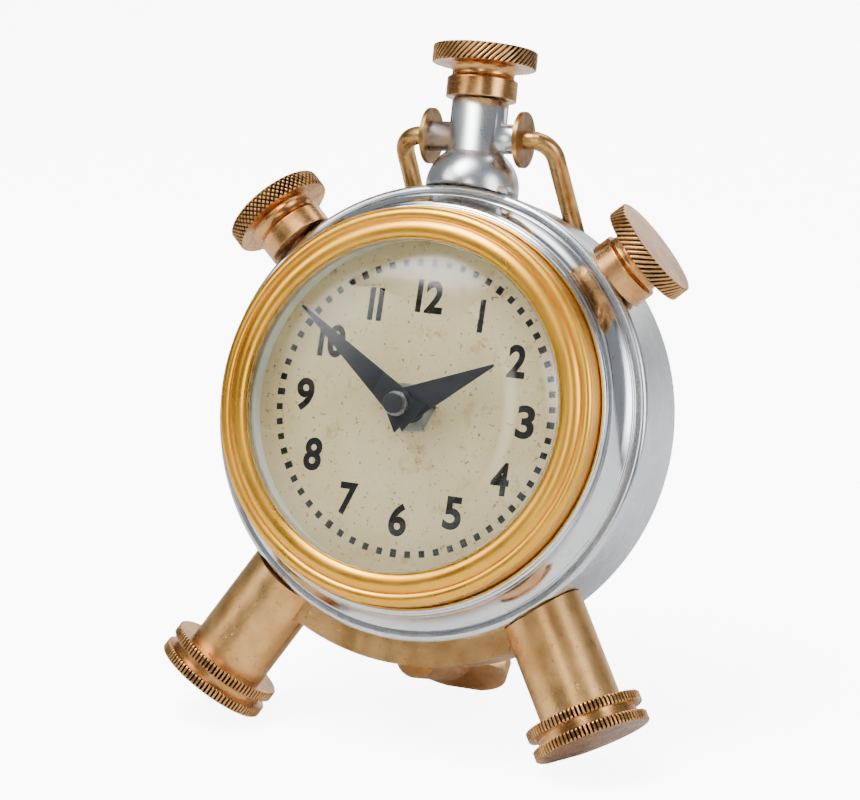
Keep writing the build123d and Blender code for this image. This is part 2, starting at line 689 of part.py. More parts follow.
def movement_box():
    inner = MOVEMENT_SIDE - 2 * MOVEMENT_WALL
    box = plate(RectangleRounded(MOVEMENT_SIDE, MOVEMENT_SIDE, MOVEMENT_ROUND), MOVEMENT_FRONT, MOVEMENT_BACK)
    box -= plate(RectangleRounded(inner, inner, MOVEMENT_ROUND - MOVEMENT_WALL), GEAR_LOW, MOVEMENT_BACK + 1)
    bush_front = -WASHER_THICK - NUT_THICK - 0.8
    box += disc(BUSH_R, bush_front, GEAR_LOW)
    box += MOTION_PLACE * disc(MOTION_POST_R, GEAR_LOW - 0.2, MOTION_WHEEL_LOW + 1.5)
    box -= disc(HOUR_PIPE_R + FIT, bush_front - 1, GEAR_LOW + 1)
    box -= THIRD_PLACE * disc(THIRD_SPINDLE_R + FIT, MOVEMENT_FRONT + 0.5, GEAR_LOW + 1)
    return box - SET_PLACE * disc(SET_PIVOT_R + FIT, MOVEMENT_FRONT + 0.5, GEAR_LOW + 1)


def movement_cover():
    """Plate over the wheels; the battery below it stays open to the back."""
    side = MOVEMENT_SIDE - 2 * MOVEMENT_WALL - 4 * FIT
    low = BATTERY_UP + BATTERY_R + 1.2
    lid = plate(RectangleRounded(side, side, MOVEMENT_ROUND - MOVEMENT_WALL), COVER_LOW, MOVEMENT_BACK)
    lid -= Pos(0, 0, low - 50) * Box(100, 100, 100)
    lid -= disc(ARBOR_R + FIT, COVER_LOW - 1, MOVEMENT_BACK + 1)
    lid -= THIRD_PLACE * disc(THIRD_SPINDLE_R + FIT, COVER_LOW - 1, MOVEMENT_BACK - 0.4)
    lid -= Pos(SECOND_X, 0, SECOND_UP) * disc(ROTOR_SPINDLE_R + FIT, COVER_LOW - 1, MOVEMENT_BACK - 0.4)
    lid -= Pos(ROTOR_X, 0, ROTOR_UP) * disc(ROTOR_SPINDLE_R + FIT, COVER_LOW - 1, MOVEMENT_BACK - 0.4)
    return lid - SET_PLACE * disc(SET_STEM_R + 2 * FIT, COVER_LOW - 1, MOVEMENT_BACK + 1)


def rubber_pad():
    return disc(PAD_R, SHELF_FRONT, MOVEMENT_FRONT, BUSH_R + 0.1)


def dial_washer():
    return disc(WASHER_R, -WASHER_THICK, 0, BUSH_R + 0.1)


def dial_nut():
    return Rot(0, NUT_TURN, 0) * hexagon(NUT_FLATS, -WASHER_THICK - NUT_THICK, -WASHER_THICK, BUSH_R + FIT)


def hand(reach, half, depth, bore):
    """Flat dagger hand pointing to twelve, with a waist at its hub and a fishtail."""
    outline_points = [
        (-0.3, reach), (0.3, reach), (half, 1.4), (half - 0.4, -1.6), (half + 0.9, -5.0),
        (-half - 0.9, -5.0), (-half + 0.4, -1.6), (-half, 1.4),
    ]
    flat = plate(make_face(Polyline(*outline_points, close=True)), depth, depth + HAND_THICK)
    return flat - disc(bore, depth - 1, depth + 1)


def minute_hand():
    return Rot(0, MINUTE_ANGLE, 0) * hand(MINUTE_REACH, 3.7, MINUTE_HAND_DEPTH, ARBOR_R + SEAT)


def hour_hand():
    return Rot(0, HOUR_ANGLE, 0) * hand(HOUR_REACH, 4.4, HOUR_HAND_DEPTH, HOUR_PIPE_R + SEAT)


def hand_nut():
    """Round nut with a sleeve behind it that bears on the minute hand."""
    behind = HAND_NUT_FRONT + HAND_NUT_TALL
    nut = disc(CAP_R + 0.5, HAND_NUT_FRONT, behind, ARBOR_R + SEAT)
    return nut + disc(CAP_R - 0.3, behind - 0.1, MINUTE_HAND_DEPTH, ARBOR_R + SEAT)


def hand_cap():
    front = HAND_NUT_FRONT - CAP_HEIGHT
    edge = 0.4
    return turned(
        (0, front + 1.0),
        (0, front),
        (CAP_R - edge, front),
        (CAP_R, front + edge, -0.1),
        (CAP_R, HAND_NUT_FRONT),
        (ARBOR_R + SEAT, HAND_NUT_FRONT),
        (ARBOR_R + SEAT, front + 1.0),
    )


def minute_arbor():
    """Arbor with its pinion, the centre wheel and the shoulder behind the minute hand."""
    arbor = disc(ARBOR_R, HAND_NUT_FRONT - CAP_HEIGHT + 1.1, MOVEMENT_BACK - 0.2)
    arbor += disc(CAP_R, MINUTE_HAND_DEPTH + HAND_THICK, MINUTE_HAND_DEPTH + HAND_THICK + 1.0)
    arbor += gear(MINUTE_TEETH, MODULE, MOTION_WHEEL_LOW - 0.2, MOTION_WHEEL_LOW + 1.2)
    return arbor + gear(CENTRE_TEETH, THIRD_MODULE, CENTRE_WHEEL_LOW, CENTRE_WHEEL_LOW + 1.0)


def hour_wheel():
    """Hour wheel on its pipe, with the shoulder that the hour hand is pushed against."""
    wheel = Rot(0, HOUR_TURN, 0) * gear(HOUR_TEETH, HOUR_MODULE, HOUR_WHEEL_LOW, HOUR_WHEEL_LOW + 1.2)
    wheel += disc(HOUR_PIPE_R, HOUR_HAND_DEPTH - 0.6, HOUR_WHEEL_LOW + 0.1)
    wheel += disc(HOUR_PIPE_R + 0.9, HOUR_HAND_DEPTH + HAND_THICK, HOUR_HAND_DEPTH + HAND_THICK + 1.0)
    return wheel - disc(ARBOR_R + FIT, HOUR_HAND_DEPTH - 2, HOUR_WHEEL_LOW + 2)


def motion_wheel():
    wheel = gear(MOTION_TEETH, MODULE, MOTION_WHEEL_LOW, MOTION_WHEEL_LOW + 1.0)
    wheel = Rot(0, MOTION_TURN, 0) * wheel
    pinion = gear(MOTION_PINION_TEETH, HOUR_MODULE, HOUR_WHEEL_LOW - 0.2, MOTION_WHEEL_LOW)
    wheel += pinion
    return MOTION_PLACE * (wheel - disc(MOTION_POST_R + FIT, GEAR_LOW - 1, MOTION_WHEEL_LOW + 2))


def third_wheel():
    wheel = disc(THIRD_WHEEL_R, THIRD_LOW, THIRD_LOW + 0.8)
    wheel += disc(THIRD_SPINDLE_R, MOVEMENT_FRONT + 0.7, MOVEMENT_BACK - 0.6)
    pinion = gear(THIRD_PINION_TEETH, THIRD_MODULE, CENTRE_WHEEL_LOW - 0.2, THIRD_LOW)
    return THIRD_PLACE * (wheel + Rot(0, THIRD_TURN, 0) * pinion)


def second_wheel():
    """Wheel between the motor and the third wheel; it stands where it reaches both."""
    wheel = disc(SECOND_WHEEL_R, SECOND_LOW, SECOND_LOW + 0.7)
    wheel += disc(SECOND_PINION_R, THIRD_LOW - 0.1, SECOND_LOW)
    wheel += disc(ROTOR_SPINDLE_R, SECOND_LOW, MOVEMENT_BACK - 0.6)
    return Pos(SECOND_X, 0, SECOND_UP) * wheel


def set_stem():
    stem = disc(SET_STEM_R, MOTION_WHEEL_LOW - 0.2, SET_KNOB_LOW + SET_KNOB_THICK - 1.5)
    stem += disc(SET_PIVOT_R, MOVEMENT_FRONT + 0.7, MOTION_WHEEL_LOW)
    pinion = gear(MINUTE_TEETH, MODULE, MOTION_WHEEL_LOW - 0.2, MOTION_WHEEL_LOW + 1.2)
    return SET_PLACE * (stem + Rot(0, SET_TURN, 0) * pinion)


def set_knob():
    edge = 0.6
    knob_shape = turned(
        (SET_STEM_R + SEAT, SET_KNOB_LOW),
        (SET_KNOB_R - 2, SET_KNOB_LOW),
        (SET_KNOB_R - 2, SET_KNOB_LOW + 1.2),
        (SET_KNOB_R - edge, SET_KNOB_LOW + 1.2),
        (SET_KNOB_R, SET_KNOB_LOW + 1.2 + edge),
        (SET_KNOB_R, SET_KNOB_LOW + SET_KNOB_THICK - edge),
        (SET_KNOB_R - edge, SET_KNOB_LOW + SET_KNOB_THICK),
        (0, SET_KNOB_LOW + SET_KNOB_THICK),
        (0, SET_KNOB_LOW + SET_KNOB_THICK - 1.4),
        (SET_STEM_R + SEAT, SET_KNOB_LOW + SET_KNOB_THICK - 1.4),
    )
    return SET_PLACE * knob_shape


def battery():
    cell = Cylinder(BATTERY_R, BATTERY_LENGTH)
    cell += Pos(0, 0, BATTERY_LENGTH / 2 + 0.6) * Cylinder(2.7, 1.2)
    return Pos(-0.6, BATTERY_AXIS, BATTERY_UP) * Rot(0, 90, 0) * cell


def battery_contacts():
    wall = MOVEMENT_SIDE / 2 - MOVEMENT_WALL
    cell_left = -0.6 - BATTERY_LENGTH / 2
    cell_right = -0.6 + BATTERY_LENGTH / 2 + 1.2
    contacts = []
    for inner, outer in ((cell_left, -wall), (cell_right, wall)):
        middle = (inner + outer) / 2
        contacts.append(Pos(middle, BATTERY_AXIS, BATTERY_UP) * Box(abs(outer - inner), 9, 9))
    return contacts


def circuit_board():
    return Pos(-21.2, GEAR_LOW + 0.5, 8) * Box(9.0, 1.0, 24)


def motor_coil():
    bobbin = Cylinder(COIL_R, COIL_TALL - 2) + Pos(0, 0, COIL_TALL / 2 - 0.5) * Cylinder(COIL_R + 0.4, 1.0)
    bobbin += Pos(0, 0, 0.5 - COIL_TALL / 2) * Cylinder(COIL_R + 0.4, 1.0)
    bobbin -= Cylinder(COIL_CORE_R + FIT, COIL_TALL + 2)
    return Pos(COIL_X, COIL_DEPTH, COIL_UP) * bobbin


def motor_stator():
    """Iron core through the coil, with a plate that reaches round the rotor."""
    top = COIL_UP + COIL_TALL / 2
    core = Pos(COIL_X, COIL_DEPTH, COIL_UP + 1) * Cylinder(COIL_CORE_R, COIL_TALL + 4)
    arm = Pos((COIL_X + ROTOR_X) / 2, COIL_DEPTH, top + 2.6) * Box(COIL_X - ROTOR_X + 6, 1.6, 5)
    hole = Pos(ROTOR_X, 0, ROTOR_UP) * disc(ROTOR_R + CLEAR, COIL_DEPTH - 2, COIL_DEPTH + 2)
    return core + arm - hole


def motor_rotor():
    magnet = disc(ROTOR_R, COIL_DEPTH - 0.9, COIL_DEPTH + 0.9)
    spindle = disc(ROTOR_SPINDLE_R, GEAR_LOW, MOVEMENT_BACK - 0.6)
    pinion = disc(ROTOR_PINION_R, SECOND_LOW - 0.2, SECOND_LOW + 0.9)
    return Pos(ROTOR_X, 0, ROTOR_UP) * (magnet + spindle + pinion)


# ---------------------------------------------------------------- the whole clock

def build_nodes():
    """Every piece in the upright drawing frame, by name."""
    nodes = {
        "case_drum": case_drum(), "front_ring": front_ring(), "bezel": bezel(),
        "glass_dome": glass_dome(), "dial_spacer": dial_spacer(), "paper_dial": paper_dial(),
        "dial_plate": dial_plate(), "back_cover": back_cover(), "back_screws": back_screws(),
        "neck": neck(), "stud_nuts": stud_nuts(),
        "top_stud": neck_place() * knob_stud(NUT_LOW - CASE_R, TOP_KNOB_BASE),
        "top_knob": neck_place() * Pos(0, TOP_KNOB_BASE, 0) * knob(),
        "crossbar": crossbar(), "crossbar_screws": crossbar_screws(),
        "rear_arm": rear_arm(), "rear_foot": rear_foot(),
        "movement_box": movement_box(), "movement_cover": movement_cover(),
        "rubber_pad": rubber_pad(), "dial_washer": dial_washer(), "dial_nut": dial_nut(),
        "minute_hand": minute_hand(), "hour_hand": hour_hand(), "hand_nut": hand_nut(),
        "hand_cap": hand_cap(), "minute_arbor": minute_arbor(), "hour_wheel": hour_wheel(),
        "motion_wheel": motion_wheel(), "third_wheel": third_wheel(),
        "second_wheel": second_wheel(), "set_stem": set_stem(),
        "set_knob": set_knob(), "battery": battery(), "battery_contacts": battery_contacts(),
        "circuit_board": circuit_board(), "motor_coil": motor_coil(),
        "motor_stator": motor_stator(), "motor_rotor": motor_rotor(),
    }
    for name, angle in KNOB_SIDES.items():
        nodes[name + "_stud"] = along_radius(knob_stud(NUT_LOW, KNOB_BASE), angle, KNOB_DEPTH)
        nodes[name + "_knob"] = along_radius(Pos(0, KNOB_BASE, 0) * knob(), angle, KNOB_DEPTH)
    for name, side in SIDES.items():
        nodes[name + "_bail_washer"] = bail_washer(side)
        nodes[name + "_bail_rod"] = bail_rod(side)
        nodes[name + "_leg"] = leg(side)
        nodes[name + "_foot"] = front_foot(side)
        nodes[name + "_foot_stud"] = foot_stud(side)
    return nodes


def solids_of(shape):
    """All the solids of a piece, or of a list of like pieces."""
    shapes = shape if isinstance(shape, list) else [shape]
    return [solid for each in shapes for solid in each.solids()]


def stand(nodes):
    """Lean the clock back and put its origin on the ground under its middle."""
    leaned = {name: [Rot(-LEAN, 0, 0) * solid for solid in solids_of(shape)] for name, shape in nodes.items()}
    box = Compound([solid for solids in leaned.values() for solid in solids]).bounding_box()
    shift = Pos(-(box.min.X + box.max.X) / 2, -(box.min.Y + box.max.Y) / 2, -box.min.Z)
    print("dial centre at", shift.position, "size", box.size)
    return {name: Compound([shift * solid for solid in solids]) for name, solids in leaned.items()}


os.makedirs("parts", exist_ok=True)
for node, piece in stand(build_nodes()).items():
    export_step(piece, f"parts/{node}.step")
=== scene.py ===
import bmesh
import bpy
import json
import math
from mathutils import Matrix, Vector


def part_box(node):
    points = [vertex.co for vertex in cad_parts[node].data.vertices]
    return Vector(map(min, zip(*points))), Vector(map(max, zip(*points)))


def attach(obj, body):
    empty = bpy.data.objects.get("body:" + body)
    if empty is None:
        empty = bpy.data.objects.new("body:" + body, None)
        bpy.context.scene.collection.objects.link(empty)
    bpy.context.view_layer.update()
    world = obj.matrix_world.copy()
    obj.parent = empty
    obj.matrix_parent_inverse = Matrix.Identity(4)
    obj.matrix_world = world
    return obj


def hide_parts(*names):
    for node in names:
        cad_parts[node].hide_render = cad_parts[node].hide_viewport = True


# A desk clock on three feet: turned aluminium case, brass bezel, knurled brass knobs and legs.
# Pieces are drawn upright in millimetres, with the dial's centre at the origin,
# X to the right, Y to the back and Z up, and then set in the leaned-back clock.

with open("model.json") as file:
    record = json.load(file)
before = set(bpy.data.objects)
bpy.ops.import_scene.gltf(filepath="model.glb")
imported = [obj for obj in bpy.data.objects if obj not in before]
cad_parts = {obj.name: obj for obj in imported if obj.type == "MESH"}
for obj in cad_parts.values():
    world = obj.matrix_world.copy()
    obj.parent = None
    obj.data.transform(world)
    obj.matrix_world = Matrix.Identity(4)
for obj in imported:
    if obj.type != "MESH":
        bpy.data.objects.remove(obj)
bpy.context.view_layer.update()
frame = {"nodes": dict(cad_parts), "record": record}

MM = 0.001
TURN = 2 * math.pi
LEAN = math.radians(20.0)
PAPER_THICK = 0.2

# Sizes the turned pieces share with the frame
CASE_R = 59.0
CASE_WALL = 2.1
CASE_FRONT = 9.2
CASE_BACK = 33.4
CASE_SHOULDER = 1.5
CASE_BORE = CASE_R - CASE_WALL
COVER_SEAT = 31.0
LEDGE_WIDTH = 5.6
LEDGE_THICK = 2.4
RING_FRONT = CASE_FRONT - 0.4   # front face of the ring's outer bead
RING_BACK = 3.4                 # back of the shelf under the dial
RING_SKIRT_R = CASE_BORE - 0.06
RING_SKIRT_BORE = CASE_BORE - 2.35
RING_SKIRT_BACK = 19.6
DIAL_SEAT = 1.2
DIAL_SHELF_IN = 42.0
BEZEL_R = 50.8
GLASS_R = 44.4
GLASS_BORE = GLASS_R + 0.1
LIP_BACK = -7.6                 # where the bezel's lip holds the glass's flange
KNOB_DEPTH = 13.8
KNOB_ANGLE = math.radians(47.5)
KNOB_BASE = CASE_R + 0.3
KNOB_R = 13.6
KNOB_TALL = 13.3
KNOB_COLLAR_R = 9.2
KNOB_COLLAR_TALL = 5.3
KNOB_DISC_LOW = 8.7
STUD_BORE = 3.05
STUD_DEEP = 9.4
NECK_AT = (1.5, KNOB_DEPTH, CASE_R)
NECK_LEAN = math.radians(-2.8)
NECK_TOP = 22.6
LEG_AT = (49.7, 18.8, -70.2)
LEG_SPLAY = math.radians(31.0)
FOOT_R = 15.4
FOOT_TALL = 8.0
FOOT_RIM = 2.8
FOOT_GROOVE_R = 13.3
FOOT_BORE = 4.05
FOOT_BORE_DEEP = 5.5

# Printed dial
MARK_RING_R = 37.3
BLOCK_RING_R = 37.2
PRINT_THICK = 0.04
NUMERAL_RIM = 32.9              # every numeral reaches out to this radius
DIGIT_WIDE = 4.9
DIGIT_TALL = 8.5
DIGIT_STROKE = 1.45
DIGIT_GAP = 1.0

BODY_OF = {
    node: body for body, nodes in frame["record"]["behaviour"]["bodies"].items() for node in nodes}
SLOT_OF = {row["node"]: row["material_slot"] for row in frame["record"]["subparts"]}


# ---------------------------------------------------------------- places

def clock_place():
    """Matrix from the upright drawing, in millimetres, to the leaned clock, in metres."""
    low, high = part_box("paper_dial")
    axis = Vector((0, math.cos(LEAN), -math.sin(LEAN)))
    centre = (low + high) / 2 - axis * PAPER_THICK / 2 * MM
    return Matrix.Translation(centre) @ Matrix.Rotation(-LEAN, 4, "X") @ Matrix.Scale(MM, 4)


CLOCK = clock_place()
Y_TO_UP = Matrix.Rotation(math.radians(90), 4, "X")


def on_radius(angle, depth=KNOB_DEPTH):
    """Place whose Y axis runs out along a radius of the case, clockwise from twelve."""
    return Matrix.Translation((0, depth, 0)) @ Matrix.Rotation(angle, 4, "Y") @ Y_TO_UP


def on_neck():
    return Matrix.Translation(NECK_AT) @ Matrix.Rotation(NECK_LEAN, 4, "Y") @ Y_TO_UP


def on_leg(side):
    x, depth, up = LEG_AT
    turn = Matrix.Rotation(side * (math.pi - LEG_SPLAY), 4, "Y")
    return Matrix.Translation((side * x, depth, up)) @ turn @ Y_TO_UP


# ---------------------------------------------------------------- nodes and materials

def add(tree, kind, inputs=None, **settings):
    """Add a node with its settings; an input is a value, or a socket to link."""
    node = tree.nodes.new(kind)
    for key, value in settings.items():
        setattr(node, key, value)
    for key, value in (inputs or {}).items():
        if isinstance(value, bpy.types.NodeSocket):
            tree.links.new(value, node.inputs[key])
        else:
            node.inputs[key].default_value = value
    return node


def linear(code):
    """Linear colour with alpha from an sRGB hex code."""
    parts = [int(code[i:i + 2], 16) / 255 for i in (0, 2, 4)]
    parts = [c / 12.92 if c <= 0.04045 else ((c + 0.055) / 1.055) ** 2.4 for c in parts]
    return (*parts, 1.0)


def new_material(name):
    material = bpy.data.materials.new(name)
    material.use_nodes = True
    tree = material.node_tree
    shader = next(node for node in tree.nodes if node.type == "BSDF_PRINCIPLED")
    return material, tree, shader


def noise(tree, size_mm, detail=3.0, rough=0.55, stretch=(1, 1, 1), vector=None):
    """Noise whose blobs are about size_mm across, on Object coordinates unless told otherwise."""
    if vector is None:
        vector = add(tree, "ShaderNodeTexCoord").outputs["Object"]
        scale = [s / MM / size_mm for s in stretch]
    else:
        scale = [s / size_mm for s in stretch]
    mapped = add(tree, "ShaderNodeMapping", {"Vector": vector, "Scale": scale})
    return add(tree, "ShaderNodeTexNoise", {
        "Vector": mapped.outputs[0], "Scale": 1.0, "Detail": detail, "Roughness": rough}).outputs[0]


def ranged(tree, value, low, high, to_low=0.0, to_high=1.0):
    """Spread part of a value's range onto a new range, clamped."""
    return add(tree, "ShaderNodeMapRange", {
        "Value": value, "From Min": low, "From Max": high, "To Min": to_low, "To Max": to_high,
    }).outputs[0]


def blended(tree, share, first, second):
    """Mix of two colours; each is a hex code or a socket."""
    first, second = (linear(c) if isinstance(c, str) else c for c in (first, second))
    return add(tree, "ShaderNodeMix", {0: share, 6: first, 7: second}, data_type="RGBA").outputs[2]


def bumped(tree, shader, height, depth_mm, before=None):
    """Bump of a depth in millimetres, on top of an earlier one."""
    inputs = {"Height": height, "Distance": depth_mm * MM, "Strength": 1.0}
    if before is not None:
        inputs["Normal"] = before
    bump = add(tree, "ShaderNodeBump", inputs).outputs[0]
    tree.links.new(bump, shader.inputs["Normal"])
    return bump


PIT_SPACING = 1.6


def metal(name, base, dull, stain, rough, patch_mm, lines=0.0, pits=0.0, stain_share=0.5):
    """Bare metal: broad tone changes, small stains, rubbed roughness, turning lines and pits."""
    material, tree, shader = new_material(name)
    shader.inputs["Metallic"].default_value = 1.0
    broad = noise(tree, patch_mm, 4.0, 0.6)
    small = noise(tree, patch_mm / 9, 5.0, 0.65)
    colour = blended(tree, ranged(tree, broad, 0.38, 0.66), base, dull)
    spots = ranged(tree, small, 0.60, 0.72, 0.0, stain_share)
    colour = blended(tree, spots, colour, stain)
    smear = noise(tree, patch_mm / 2.2, 3.0, 0.5, stretch=(1, 1, 0.4))
    roughness = ranged(tree, smear, 0.3, 0.75, rough * 0.75, rough * 1.35)
    bump = None
    if lines:
        uv = add(tree, "ShaderNodeUVMap", uv_map="turned").outputs[0]
        fine = noise(tree, 0.5, 2.0, 0.7, stretch=(0.004, 1, 1), vector=uv)
        bump = bumped(tree, shader, fine, lines)
        roughness = add(tree, "ShaderNodeMath", {
            0: roughness, 1: ranged(tree, fine, 0.3, 0.7, -0.04, 0.04)}, operation="ADD").outputs[0]
    if pits:
        cells = add(tree, "ShaderNodeMapping", {
            "Vector": add(tree, "ShaderNodeTexCoord").outputs["Object"],
            "Scale": [1 / MM / PIT_SPACING] * 3})
        holes = add(tree, "ShaderNodeTexVoronoi", {
            "Vector": cells.outputs[0], "Scale": 1.0}).outputs["Distance"]
        few = ranged(tree, noise(tree, 7.0, 2.0), 0.50, 0.62)
        hole = add(tree, "ShaderNodeMath", {
            0: ranged(tree, holes, 0.20, 0.05), 1: few}, operation="MULTIPLY").outputs[0]
        colour = blended(tree, hole, colour, stain)
        depth = ranged(tree, hole, 0.0, 1.0, 1.0, 0.0)
        dents = noise(tree, 5.0, 3.0, 0.6)
        bump = bumped(tree, shader, depth, pits, before=bump)
        bump = bumped(tree, shader, dents, pits * 0.35, before=bump)
    tree.links.new(colour, shader.inputs["Base Color"])
    tree.links.new(roughness, shader.inputs["Roughness"])
    return material


def grooved(material, groove_shade_colour):
    """Darken a metal where its knurl is cut: painted shade in the grooves, deepest where the cut is
    deepest, mottled a little by dirt.
    """
    tree = material.node_tree
    shader = next(node for node in tree.nodes if node.type == "BSDF_PRINCIPLED")
    base = shader.inputs["Base Color"].links[0].from_socket
    cut = add(tree, "ShaderNodeAttribute", attribute_name="groove").outputs["Fac"]
    # The near-black groove colour is painted shade that follows the depth of the cut; this noise
    # mottles it a little, like dirt.
    shade_and_dirt_mottle = ranged(tree, noise(tree, 4.0, 3.0), 0.25, 0.6, 0.75, 1.0)
    depth = add(tree, "ShaderNodeMath", {
        0: ranged(tree, cut, 0.04, 0.5), 1: shade_and_dirt_mottle}, operation="MULTIPLY")
    tree.links.new(blended(tree, depth.outputs[0], base, groove_shade_colour), shader.inputs["Base Color"])
    rough = shader.inputs["Roughness"].links[0].from_socket
    added = add(tree, "ShaderNodeMath", {
        0: rough, 1: ranged(tree, cut, 0.0, 1.0, 0.0, 0.25)}, operation="ADD")
    tree.links.new(added.outputs[0], shader.inputs["Roughness"])
    return material


def moulded(name, base, worn, rough, grain_mm=0.25, grain_depth=0.01):
    """Plastic, rubber, paint or lacquer: a fine skin grain and a faint change of tone."""
    material, tree, shader = new_material(name)
    tone = ranged(tree, noise(tree, 9.0, 4.0), 0.35, 0.7)
    tree.links.new(blended(tree, tone, base, worn), shader.inputs["Base Color"])
    worn_rough = ranged(tree, noise(tree, 6.0, 2.0), 0.3, 0.7, rough * 0.85, rough * 1.2)
    tree.links.new(worn_rough, shader.inputs["Roughness"])
    bumped(tree, shader, noise(tree, grain_mm, 2.0), grain_depth)
    return material


def aged_paper():
    """Printed card under glass: cream, toned brown towards the rim, with foxing and dirt specks."""
    material, tree, shader = new_material("aged printed paper")
    place = add(tree, "ShaderNodeTexCoord").outputs["Object"]
    centre = tuple(CLOCK.translation)
    local = add(tree, "ShaderNodeVectorMath", {0: place, 1: centre}, operation="SUBTRACT").outputs[0]
    radius = add(tree, "ShaderNodeVectorMath", {0: local}, operation="LENGTH").outputs["Value"]
    cloud = noise(tree, 26.0, 5.0, 0.6)
    colour = blended(tree, ranged(tree, cloud, 0.35, 0.7), "DFCB9E", "CBB583")
    rim = ranged(tree, radius, 0.030, 0.0445, 0.0, 0.35)
    colour = blended(tree, rim, colour, "B4965F")
    fox = ranged(tree, noise(tree, 5.5, 6.0, 0.7), 0.565, 0.69, 0.0, 0.6)
    colour = blended(tree, fox, colour, "A27C46")
    speck = ranged(tree, noise(tree, 1.1, 3.0, 0.6), 0.625, 0.68, 0.0, 0.8)
    colour = blended(tree, speck, colour, "63431F")
    scuff = ranged(tree, noise(tree, 3.0, 5.0, 0.75, stretch=(0.35, 1, 1.6)), 0.62, 0.72, 0.0, 0.4)
    colour = blended(tree, scuff, colour, "E8E0CC")
    tree.links.new(colour, shader.inputs["Base Color"])
    shader.inputs["Roughness"].default_value = 0.62
    bumped(tree, shader, noise(tree, 0.35, 4.0, 0.7), 0.015)
    return material


def printing_ink():
    """Black printing ink, worn thin in places so the card shows through as brown."""
    material, tree, shader = new_material("printing ink")
    worn = ranged(tree, noise(tree, 1.6, 6.0, 0.75), 0.60, 0.72, 0.0, 0.5)
    tree.links.new(blended(tree, worn, "110C0A", "7A6240"), shader.inputs["Base Color"])
    shader.inputs["Roughness"].default_value = 0.6
    shader.inputs["Specular IOR Level"].default_value = 0.2
    bumped(tree, shader, noise(tree, 0.35, 4.0, 0.7), 0.01)
    return material


def crystal():
    """Clear glass dome: sharp reflections, a slight green cast at its edge and faint wipe marks."""
    material, tree, shader = new_material("clear mineral glass")
    shader.inputs["Base Color"].default_value = linear("FBFEFC")
    shader.inputs["Transmission Weight"].default_value = 1.0
    shader.inputs["IOR"].default_value = 1.33
    shader.inputs["Specular IOR Level"].default_value = 0.3
    wipe = noise(tree, 14.0, 3.0, 0.6, stretch=(1, 1, 0.3))
    tree.links.new(ranged(tree, wipe, 0.4, 0.8, 0.0, 0.008), shader.inputs["Roughness"])
    out = next(node for node in tree.nodes if node.type == "OUTPUT_MATERIAL")
    clear = add(tree, "ShaderNodeBsdfTransparent", {"Color": linear("F4F8F5")})
    shadow = add(tree, "ShaderNodeLightPath").outputs["Is Shadow Ray"]
    mixed = add(tree, "ShaderNodeMixShader", {0: shadow, 1: shader.outputs[0], 2: clear.outputs[0]})
    tree.links.new(mixed.outputs[0], out.inputs["Surface"])
    return material


# Turned aluminium, polished on the lathe: near-mirror, faint rings, a few smudges
POLISHED = metal("polished aluminium", "E2E3E4", "D2D4D6", "B4B4B2", 0.13, 30.0, lines=0.002)
# The drum's wall and the neck are the same metal, finished with emery: softer sheen, visible rings
SATIN = metal("emery finished aluminium", "D9DBDD", "C9CCCF", "AFAFAC", 0.26, 26.0, lines=0.004)
# Rolled sheet for the plate and the back cover: duller and greyer than the turned pieces
BRUSHED = metal("brushed aluminium sheet", "C6C8CA", "B5B7B9", "8F8F8C", 0.32, 18.0)
# Lacquered yellow brass: deep even gold with soft highlights and hardly a stain
BEZEL_BRASS = metal("polished yellow brass", "EFB03C", "E7A534", "BC7E2E", 0.32, 30.0,
                    stain_share=0.12)
# Red brass, cast and burnished: salmon gold with brown patina and casting pits
CAST_BRASS = metal("burnished red brass", "E2B272", "CB985A", "74491F", 0.34, 11.0,
                   pits=0.10, stain_share=0.6)
# Turned red brass: coppery, with fine turning lines; its knurls are painted near-black in the grooves
# as shade, with a little dirt
KNOB_BRASS = grooved(metal("turned red brass", "D3A066", "AB7843", "57391C", 0.26, 9.0,
                           lines=0.006, stain_share=0.7), "150D06")
# Bent rod, never polished after bending: dull yellow with dark handling marks
ROD_BRASS = metal("dull yellow brass", "CFA566", "A67C48", "5A4022", 0.32, 7.0, stain_share=0.7)
# Washers under the rods: the darkest brass, brown where polish and dirt collect
WASHER_BRASS = metal("patinated brass", "A57E4C", "7A5730", "3A2613", 0.36, 6.0, stain_share=0.8)
# Screws, studs and the small steel parts: cool grey, evenly plated
STEEL = metal("zinc plated steel", "CDCCC8", "B9B8B3", "8B8983", 0.28, 6.0)
# The movement's nut and washer: pale, faintly warm plating that lifts them off the card
NICKEL = metal("nickel plated brass", "F4F2EC", "E4E1D8", "A8A296", 0.32, 6.0)
# The motor's winding: orange-brown
COPPER = metal("enamelled copper wire", "B5622E", "9A4F24", "6A3418", 0.35, 5.0)
PAPER = aged_paper()
INK = printing_ink()
GLASS = crystal()
# Hands: blue-black, with a low gloss
HAND_BLACK = moulded("black enamelled steel", "0D0D13", "171720", 0.4, 0.6, 0.01)
# The ring round the dial: the pale grey-green band inside the bezel
SPACER = moulded("pale grey styrene", "D3D8CC", "C6CCBF", 0.5)
# The movement's box and cover and the setting knob: near-black with a fine grain
BLACK = moulded("black ABS plastic", "1B1B1C", "242424", 0.45)
# The pad behind the dial plate: black without a gloss
RUBBER = moulded("black neoprene rubber", "191918", "222120", 0.75)
# Wheels of the movement: milky white
NYLON = moulded("natural nylon", "E4E2D8", "D8D5C8", 0.4)
# The cell's sleeve: dark blue-grey and slightly glossy
SLEEVE = moulded("plain shrink sleeve", "2C313A", "22262E", 0.3)
# Circuit board: glossy dark green
BOARD = moulded("green lacquered board", "1F5A33", "18482A", 0.35)
# The rotor's magnet: dark and matt
FERRITE = moulded("sintered ferrite", "2E2B2A", "242221", 0.6)

